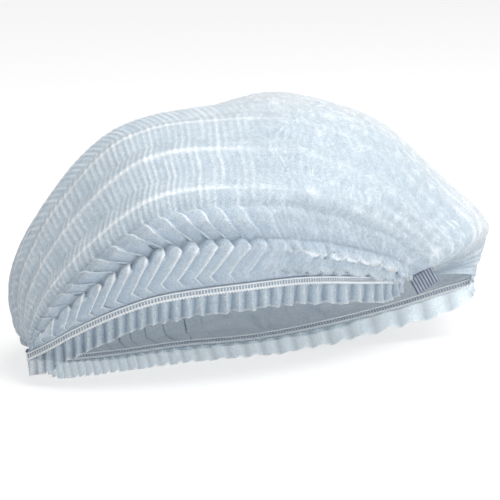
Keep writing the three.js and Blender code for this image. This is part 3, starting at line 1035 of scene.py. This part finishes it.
class Nodes:
    """A short way to fill a node tree."""

    def __init__(self, tree: bpy.types.NodeTree) -> None:
        """Keeps the tree, emptied."""
        self.tree = tree
        tree.nodes.clear()

    def add(self, kind: str, inputs: dict | None = None, **settings: object) -> bpy.types.Node:
        """Adds a node.

        Args:
            kind: the node's type name without its prefix.
            inputs: values or output sockets by input name or number.
            settings: the node's own properties.

        Returns:
            The node.
        """
        node = self.tree.nodes.new(kind)
        for key, value in settings.items():
            setattr(node, key, value)
        return self.fill(node, inputs or {})

    def fill(self, node: bpy.types.Node, inputs: dict) -> bpy.types.Node:
        """Links or sets a node's inputs.

        Args:
            node: the node.
            inputs: values or output sockets by input name or number.

        Returns:
            The same node.
        """
        for key, value in inputs.items():
            if isinstance(value, bpy.types.NodeSocket):
                self.tree.links.new(value, node.inputs[key])
            else:
                node.inputs[key].default_value = value
        return node

    def math(self, operation: str, first: object, second: object) -> bpy.types.NodeSocket:
        """Adds a sum, difference, product or maximum, clamped to 0 and 1, and gives its output."""
        node = self.add("ShaderNodeMath", {0: first, 1: second}, operation=operation, use_clamp=True)
        return node.outputs[0]

    def mix(self, share: object, first: object, second: object) -> bpy.types.NodeSocket:
        """Mixes two colours and gives the output."""
        node = self.add("ShaderNodeMix", {0: share, 6: first, 7: second}, data_type="RGBA")
        return node.outputs[2]

    def ramp(
        self, value: object, low: float = 0.0, high: float = 1.0, start: float = 0.0, end: float = 1.0
    ) -> bpy.types.NodeSocket:
        """Maps the range from low to high onto start to end and gives the output."""
        node = self.add("ShaderNodeMapRange", {0: value, 1: low, 2: high, 3: start, 4: end})
        return node.outputs[0]

    def attribute(self, name: str) -> bpy.types.NodeSocket:
        """Reads a point attribute and gives the output."""
        return self.add("ShaderNodeAttribute", attribute_name=name).outputs["Fac"]

    def group(self, tree: bpy.types.ShaderNodeTree, inputs: dict) -> bpy.types.Node:
        """Adds a node group, and fills its inputs once it has them."""
        return self.fill(self.add("ShaderNodeGroup", node_tree=tree), inputs)

    def web(self, fibre_scale: float, cloud_scale: float) -> bpy.types.Node:
        """Adds the fibre web, placed by the object's own coordinates."""
        place = self.add("ShaderNodeTexCoord").outputs["Object"]
        scales = {"Fibre Scale": fibre_scale, "Cloud Scale": cloud_scale}
        return self.group(fibre_web(), {"Vector": place} | scales)


def fibre_web() -> bpy.types.ShaderNodeTree:
    """The random web of pressed fibres, as a group.

    Returns:
        A group whose Web is 1 on fibres and 0 in the holes, whose Cloud is the slow change of
        the web's weight, and whose Height lifts the fibres.
    """
    name = "fibre_web"
    if name in bpy.data.node_groups:
        return bpy.data.node_groups[name]
    tree = bpy.data.node_groups.new(name, "ShaderNodeTree")
    tree.interface.new_socket("Vector", in_out="INPUT", socket_type="NodeSocketVector")
    for label in ("Fibre Scale", "Cloud Scale"):
        tree.interface.new_socket(label, in_out="INPUT", socket_type="NodeSocketFloat")
    for label in ("Web", "Cloud", "Height"):
        tree.interface.new_socket(label, in_out="OUTPUT", socket_type="NodeSocketFloat")
    nodes = Nodes(tree)
    source = nodes.add("NodeGroupInput").outputs
    tangle = {"Detail": 5.0, "Roughness": 0.72, "Distortion": 1.2}
    fine = nodes.add(
        "ShaderNodeTexNoise", {"Vector": source["Vector"], "Scale": source["Fibre Scale"]} | tangle
    )
    strands = nodes.add(
        "ShaderNodeTexVoronoi",
        {"Vector": source["Vector"], "Scale": source["Fibre Scale"]},
        feature="DISTANCE_TO_EDGE",
    )
    slow = nodes.add(
        "ShaderNodeTexNoise",
        {"Vector": source["Vector"], "Scale": source["Cloud Scale"], "Detail": 3.0, "Roughness": 0.6},
    )
    thread = nodes.ramp(strands.outputs[0], 0.0, 0.16, 1.0, 0.0)
    grain = nodes.ramp(fine.outputs[0], 0.38, 0.62)
    cloud = nodes.ramp(slow.outputs[0], 0.35, 0.68)
    web = nodes.math("ADD", nodes.math("MULTIPLY", thread, 0.4), nodes.math("MULTIPLY", grain, 0.7))
    nodes.add("NodeGroupOutput", {"Web": web, "Cloud": cloud, "Height": web})
    return tree


def crosshatch() -> bpy.types.ShaderNodeTree:
    """Two crossing sets of thin wavy threads, as a group.

    Returns:
        A group whose Lines is 1 on a thread and 0 beside it.
    """
    name = "crosshatch"
    if name in bpy.data.node_groups:
        return bpy.data.node_groups[name]
    tree = bpy.data.node_groups.new(name, "ShaderNodeTree")
    tree.interface.new_socket("Vector", in_out="INPUT", socket_type="NodeSocketVector")
    tree.interface.new_socket("Scale", in_out="INPUT", socket_type="NodeSocketFloat")
    tree.interface.new_socket("Lines", in_out="OUTPUT", socket_type="NodeSocketFloat")
    nodes = Nodes(tree)
    source = nodes.add("NodeGroupInput").outputs
    threads = []
    for turn in (0.6, -0.6):
        turned = nodes.add("ShaderNodeMapping", {"Vector": source["Vector"], "Rotation": (0.0, 0.0, turn)})
        wave = nodes.add(
            "ShaderNodeTexWave",
            {"Vector": turned.outputs[0], "Scale": source["Scale"], "Distortion": 2.5, "Detail": 2.0},
        )
        threads.append(nodes.ramp(wave.outputs["Fac"], 0.72, 0.95))
    nodes.add("NodeGroupOutput", {"Lines": nodes.math("MAXIMUM", *threads)})
    return tree


@dataclass(frozen=True)
class NonwovenFinish:
    """Sheer crimped nonwoven: pale blue, denser where it folds, with painted highlight on folds and ridges,
    painted shade in hollows, and on some finishes a painted glow.
    """

    name: str
    shade: tuple[float, float, float] = (0.55, 0.69, 0.81)
    light: tuple[float, float, float] = (0.84, 0.925, 0.985)
    crease: tuple[float, float, float] = (0.95, 0.98, 1.0)
    # The tint of the painted shade in the hollows.
    deep: tuple[float, float, float] = (0.32, 0.42, 0.63)
    fibre_scale: float = 900.0
    cloud_scale: float = 150.0
    thin_alpha: float = 0.44
    web_alpha: float = 0.30
    edge_alpha: float = 0.32
    shadow_alpha: float = 0.5
    painted_shade_share: float = 0.34
    net_loss: float = 0.18
    net_painted_light: float = 0.6
    net_scale: float = 300.0
    roughness: float = 0.82
    bump: float = 0.6
    # A painted glow: the finish gives off light though it is no lamp.
    glow: float = 0.0

    def build(self) -> bpy.types.Material:
        """Makes the material: the web sets its colour and its sheerness, folds whiten it partly as denser
        doubled cloth and partly as painted highlight, and hollows are darkened with painted shade.

        Returns:
            The material.
        """
        material = bpy.data.materials.new(self.name)
        material.use_nodes = True
        nodes = Nodes(material.node_tree)
        web = nodes.web(self.fibre_scale, self.cloud_scale)
        edge, fold = nodes.attribute("edge"), nodes.attribute("fold")
        # Whitening of folds and ridges: partly denser doubled cloth, partly painted highlight.
        crease = nodes.math("ADD", edge, nodes.math("MULTIPLY", fold, 0.8))
        crease = nodes.math("MULTIPLY", crease, nodes.math("ADD", web.outputs["Web"], 0.45))
        weight = nodes.math(
            "ADD",
            nodes.math("MULTIPLY", web.outputs["Web"], 0.70),
            nodes.math("MULTIPLY", web.outputs["Cloud"], 0.24),
        )
        painted_shade, net = nodes.attribute("painted_shade"), nodes.attribute("net")
        cloth = nodes.add("ShaderNodeUVMap", uv_map="cloth").outputs[0]
        hatch = nodes.group(crosshatch(), {"Vector": cloth, "Scale": self.net_scale})
        lines = nodes.math("MULTIPLY", hatch.outputs["Lines"], net)
        crease = nodes.math("ADD", crease, lines)
        colour = nodes.mix(weight, (*self.shade, 1), (*self.light, 1))
        # Painted shade: darkens the colour towards the deep tint in the hollows.
        colour = nodes.mix(nodes.math("MULTIPLY", painted_shade, self.painted_shade_share), colour, (*self.deep, 1))
        # Painted light: the net patch is lightened towards white.
        colour = nodes.mix(nodes.math("MULTIPLY", net, self.net_painted_light), colour, (*self.crease, 1))
        colour = nodes.mix(crease, colour, (*self.crease, 1))
        alpha = nodes.math("ADD", nodes.math("MULTIPLY", weight, self.web_alpha), self.thin_alpha)
        alpha = nodes.math("SUBTRACT", alpha, nodes.math("MULTIPLY", net, self.net_loss))
        alpha = nodes.math("ADD", alpha, nodes.math("MULTIPLY", crease, self.edge_alpha))
        shadow = nodes.add("ShaderNodeLightPath").outputs["Is Shadow Ray"]
        alpha = nodes.math("ADD", alpha, nodes.math("MULTIPLY", shadow, self.shadow_alpha))
        bump = nodes.add(
            "ShaderNodeBump", {"Strength": self.bump, "Distance": 0.0004, "Height": web.outputs["Height"]}
        )
        shader = nodes.add(
            "ShaderNodeBsdfPrincipled",
            {
                "Base Color": colour,
                "Alpha": alpha,
                "Roughness": self.roughness,
                "Sheen Weight": 0.25,
                "Sheen Roughness": 0.5,
                # Painted glow, where the finish has one.
                "Emission Color": (*self.light, 1),
                "Emission Strength": self.glow,
                "Normal": bump.outputs[0],
            },
        )
        nodes.add("ShaderNodeOutputMaterial", {"Surface": shader.outputs[0]})
        return material


@dataclass(frozen=True)
class SolidFinish:
    """A dense fibre finish: thread, elastic tape or welded cloth."""

    name: str
    dark: tuple[float, float, float]
    light: tuple[float, float, float]
    fibre_scale: float
    cloud_scale: float
    roughness: float
    bump: float
    coat: float = 0.0
    painted_groove_shade: tuple[float, float, float] = (0.10, 0.13, 0.20)

    def build(self) -> bpy.types.Material:
        """Makes the material: the web mixes two tones and lifts the surface, and grooves are darkened with
        painted shade.

        Returns:
            The material.
        """
        material = bpy.data.materials.new(self.name)
        material.use_nodes = True
        nodes = Nodes(material.node_tree)
        web = nodes.web(self.fibre_scale, self.cloud_scale)
        weight = nodes.math(
            "ADD",
            nodes.math("MULTIPLY", web.outputs["Web"], 0.6),
            nodes.math("MULTIPLY", web.outputs["Cloud"], 0.4),
        )
        colour = nodes.mix(weight, (*self.dark, 1), (*self.light, 1))
        # Painted shade: a point attribute darkens the weld's grooves.
        colour = nodes.mix(nodes.attribute("painted_shade"), colour, (*self.painted_groove_shade, 1))
        rough = nodes.ramp(weight, start=self.roughness, end=min(1.0, self.roughness + 0.12))
        bump = nodes.add(
            "ShaderNodeBump", {"Strength": self.bump, "Distance": 0.0003, "Height": web.outputs["Height"]}
        )
        shader = nodes.add(
            "ShaderNodeBsdfPrincipled",
            {
                "Base Color": colour,
                "Roughness": rough,
                "Coat Weight": self.coat,
                "Coat Roughness": 0.25,
                "Normal": bump.outputs[0],
            },
        )
        nodes.add("ShaderNodeOutputMaterial", {"Surface": shader.outputs[0]})
        return material


@dataclass
class Cap:
    """The whole cap: its form, its finishes and its pieces."""

    form: CapForm = field(default_factory=CapForm)
    hem_crimps: int = 34
    hem_length: float = 0.42
    nonwoven: NonwovenFinish = NonwovenFinish("nonwoven_crown")
    # The crown's inner face is a darker copy of the same cloth, painted shade inside the cap, with a little
    # painted glow.
    inner_face_shaded_copy: NonwovenFinish = NonwovenFinish(
        "nonwoven_inner_face_painted_shade",
        (0.33, 0.46, 0.57),
        (0.58, 0.72, 0.83),
        (0.84, 0.92, 0.98),
        thin_alpha=0.40,
        net_painted_light=0.9,
        glow=0.08,
    )
    # The front ruffle's copy of the cloth has deeper painted shade between its gathers.
    hem_front_shaded_copy: NonwovenFinish = NonwovenFinish(
        "nonwoven_hem_front_painted_shade", deep=(0.24, 0.34, 0.46), thin_alpha=0.34, web_alpha=0.24, painted_shade_share=0.95
    )
    # The back ruffle's copy of the cloth is painted lighter and given a painted glow, with strong painted
    # shade between its gathers.
    hem_back_lit_copy: NonwovenFinish = NonwovenFinish(
        "nonwoven_hem_back_painted_light",
        (0.66, 0.84, 0.96),
        (0.86, 0.96, 1.0),
        deep=(0.22, 0.32, 0.42),
        thin_alpha=0.34,
        web_alpha=0.26,
        painted_shade_share=0.9,
        glow=0.20,
    )
    tape: SolidFinish = SolidFinish(
        "elastic_tape", (0.34, 0.42, 0.50), (0.58, 0.66, 0.74), 700, 200, roughness=0.7, bump=0.3
    )
    thread: SolidFinish = SolidFinish(
        "overlock_thread", (0.78, 0.83, 0.87), (0.93, 0.95, 0.97), 1500, 400, roughness=0.6, bump=0.2
    )
    weld: SolidFinish = SolidFinish(
        "ribbed_weld", (0.36, 0.42, 0.52), (0.68, 0.74, 0.82), 800, 250, roughness=0.28, bump=0.35, coat=0.4
    )

    def build(self) -> list[bpy.types.Object]:
        """Builds and dresses each piece in order.

        Returns:
            The pieces.
        """
        cloth = self.nonwoven.build()
        hem_cloths = {Side.NEAR: self.hem_front_shaded_copy.build(), Side.FAR: self.hem_back_lit_copy.build()}
        tape, thread, weld = self.tape.build(), self.thread.build(), self.weld.build()
        crown = Crown(self.form)
        crown_cloth = crown.build()
        dress(crown_cloth, cloth)
        # The inner face gets the darker copy: painted shade.
        crown_cloth.data.materials.append(self.inner_face_shaded_copy.build())
        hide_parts("crown")
        trims = []
        for side, word in ((Side.NEAR, "front"), (Side.FAR, "back")):
            trims += self.trim(side, word, hem_cloths[side], tape, thread)
        for end, hang, turn, word in (
            (End.LEFT, (0.85, -0.3, -0.4), 0.0, "left"),
            (End.RIGHT, (0.5, -0.1, -0.85), RIGHT_TAB_TURN, "right"),
        ):
            tab = WeldTab(self.form, end, hang, turn, f"ribbed_weld_{word}").build()
            dress(tab, weld)
            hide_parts(f"weld_tab_{word}")
            trims.append(tab)
        return [crown_cloth] + trims

    def trim(
        self,
        side: Side,
        word: str,
        cloth: bpy.types.Material,
        tape: bpy.types.Material,
        thread: bpy.types.Material,
    ) -> list[bpy.types.Object]:
        """Builds one rim's ruffle, its elastic tape and its stitching on both faces.

        Args:
            side: which rim.
            word: the side's word in the pieces' names.
            cloth: the ruffle's material.
            tape: the elastic's material.
            thread: the stitching's material.

        Returns:
            The pieces.
        """
        hem_top = BAND_WIDTH + 2 * SEAM_GAP
        gathers = KnifePleats(count=self.hem_crimps)
        hem = RimStrip(
            self.form, side, f"hem_cloth_{word}", hem_top, HEM_WIDTH, CLOTH_WALL, 10, HEM_RUFFLE, gathers
        ).build()
        dress(hem, cloth)
        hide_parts(f"hem_ruffle_{word}")
        band = RimStrip(
            self.form, side, f"elastic_tape_{word}", SEAM_GAP, BAND_WIDTH, TAPE_WALL, rows=4, ripple=0.0
        ).build()
        dress(band, tape)
        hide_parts(f"elastic_band_{word}")
        trims = [hem, band]
        for face, where, stand_off in ((1.0, "outside", STITCH_OUTSIDE), (-1.0, "inside", STITCH_INSIDE)):
            name = f"overlock_{word}_{where}"
            stitches = Overlock(self.form, side, face, name, stand_off=stand_off).build()
            dress(stitches, thread)
            trims.append(stitches)
        return trims


@dataclass
class Studio:
    """A white floor, soft light from above, and the camera at the photograph's angle."""

    azimuth: float = -17.0
    elevation: float = 11.0
    target: tuple[float, float, float] = (-0.0074, 0.0014, 0.0599)
    distance: float = 1.636
    lens: float = 200.0

    def build(self) -> None:
        """Makes the floor, the lights, the world and the camera."""
        self.camera()
        self.floor()
        self.lights()
        self.world()
        bpy.context.scene.view_settings.view_transform = "Standard"

    def camera(self) -> None:
        """Puts the camera on a ball round the target, at its azimuth and elevation."""
        a, e = np.radians(self.azimuth), np.radians(self.elevation)
        way = np.array([np.sin(a) * np.cos(e), -np.cos(a) * np.cos(e), np.sin(e)])
        data = bpy.data.cameras.new("camera")
        data.lens = self.lens
        data.clip_end = 50.0
        camera = bpy.data.objects.new("camera", data)
        camera.location = Vector(np.array(self.target) + way * self.distance)
        camera.rotation_euler = Vector(-way).to_track_quat("-Z", "Y").to_euler()
        bpy.context.scene.collection.objects.link(camera)
        bpy.context.scene.camera = camera

    def floor(self) -> None:
        """Makes a wide pale floor that glows a little, so that it stays white."""
        half = 4.0
        points = np.array([[-half, -half, 0], [half, -half, 0], [half, half, 0], [-half, half, 0]])
        floor = link("floor", make_mesh("floor", points, np.array([[0, 1, 2, 3]])))
        material = bpy.data.materials.new("floor")
        material.use_nodes = True
        nodes = Nodes(material.node_tree)
        seen = nodes.add("ShaderNodeLightPath").outputs["Is Camera Ray"]
        glow = nodes.ramp(seen, end=0.68)
        paint = nodes.mix(seen, (0.8, 0.8, 0.8, 1), (0.38, 0.38, 0.38, 1))
        shader = nodes.add(
            "ShaderNodeBsdfPrincipled",
            {
                "Base Color": paint,
                "Roughness": 0.9,
                "Emission Color": (1, 1, 1, 1),
                "Emission Strength": glow,
            },
        )
        nodes.add("ShaderNodeOutputMaterial", {"Surface": shader.outputs[0]})
        floor.data.materials.append(material)

    def lights(self) -> None:
        """Hangs a large soft box overhead, and a weaker one low at the front right."""
        for name, place, size, watts in (
            ("overhead", (0.45, -0.35, 1.45), 1.3, 28.0),
            ("front", (0.8, -1.75, 0.26), 1.0, 11.5),
        ):
            data = bpy.data.lights.new(name, "AREA")
            data.size = size
            data.energy = watts
            light = bpy.data.objects.new(name, data)
            light.location = place
            way = Vector((0, 0, 0.06) - np.array(place))
            light.rotation_euler = way.to_track_quat("-Z", "Y").to_euler()
            bpy.context.scene.collection.objects.link(light)

    def world(self) -> None:
        """Fills the studio with white: full where the camera looks, weaker as light."""
        world = bpy.data.worlds.new("studio")
        world.use_nodes = True
        nodes = Nodes(world.node_tree)
        seen = nodes.add("ShaderNodeLightPath").outputs["Is Camera Ray"]
        strength = nodes.ramp(seen, start=0.42, end=1.1)
        sky = nodes.add("ShaderNodeBackground", {"Color": (1, 1, 1, 1), "Strength": strength})
        nodes.add("ShaderNodeOutputWorld", {"Surface": sky.outputs[0]})
        bpy.context.scene.world = world


def main() -> None:
    """Builds the studio, then the cap, and reports each piece."""
    logging.basicConfig(level=logging.INFO, format="%(name)s %(message)s")
    Studio().build()
    for piece in Cap().build():
        LOG.info("built %s", piece.name)


if __name__ == "__main__":
    main()
